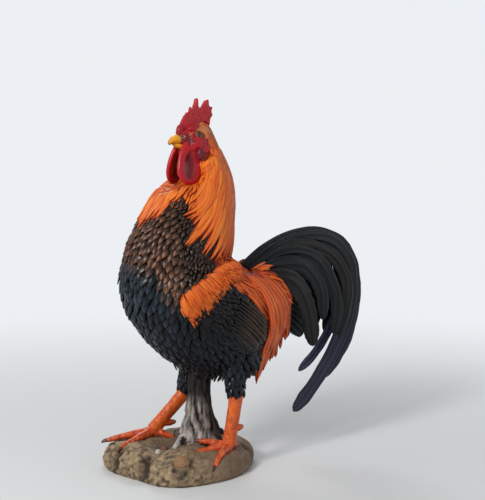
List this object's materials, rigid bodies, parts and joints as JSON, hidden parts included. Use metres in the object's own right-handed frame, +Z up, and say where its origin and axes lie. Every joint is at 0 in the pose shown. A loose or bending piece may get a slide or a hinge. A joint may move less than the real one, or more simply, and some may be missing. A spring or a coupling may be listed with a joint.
{
  "type": "rooster figure",
  "caption": "Painted rooster figure standing on a rock beside a stump, with an arched plume tail, red comb and wattles and orange legs; a free-standing ornament.",
  "frame": {"origin": "on the rock's flat underside, in the bird's plane of symmetry, about a centimetre from the underside's middle", "axes": "+Z up; the bird faces -X, so its left side is -Y"},
  "size_m": [0.3759, 0.1803, 0.4935],
  "materials": {
    "black_plumage": "satin",
    "orange_plumage": "satin",
    "tail_black": "satin",
    "comb_red": "gloss",
    "beak_yellow": "gloss",
    "eye_amber": "polished",
    "leg_orange": "satin",
    "bark": "matte",
    "rock": "matte",
    "steel": "satin"
  },
  "bodies": {
    "root": {"body_shell": "black_plumage", "left_thigh": "black_plumage", "right_thigh": "black_plumage", "left_wing": "black_plumage", "right_wing": "black_plumage", "neck_cape": "orange_plumage", "left_shoulder": "orange_plumage", "right_shoulder": "orange_plumage", "left_saddle": "orange_plumage", "right_saddle": "orange_plumage", "tail_fan": "tail_black", "left_main_sickle": "tail_black", "left_second_sickle": "tail_black", "left_first_lesser_sickle": "tail_black", "left_second_lesser_sickle": "tail_black", "left_third_lesser_sickle": "tail_black", "left_tail_covert": "tail_black", "right_main_sickle": "tail_black", "right_second_sickle": "tail_black", "right_first_lesser_sickle": "tail_black", "right_second_lesser_sickle": "tail_black", "right_third_lesser_sickle": "tail_black", "right_tail_covert": "tail_black", "head": "comb_red", "comb": "comb_red", "left_wattle": "comb_red", "right_wattle": "comb_red", "left_ear_lobe": "comb_red", "right_ear_lobe": "comb_red", "upper_beak": "beak_yellow", "lower_beak": "beak_yellow", "left_eye": "eye_amber", "right_eye": "eye_amber", "left_leg": "leg_orange", "right_leg": "leg_orange", "stump": "bark", "rock_base": "rock", "spine_rod": "steel", "rock_washer": "steel", "rock_nut": "steel", "body_washer": "steel", "body_nut": "steel", "left_leg_rod": "steel", "right_leg_rod": "steel", "tail_pin": "steel"}
  },
  "joints": []
}
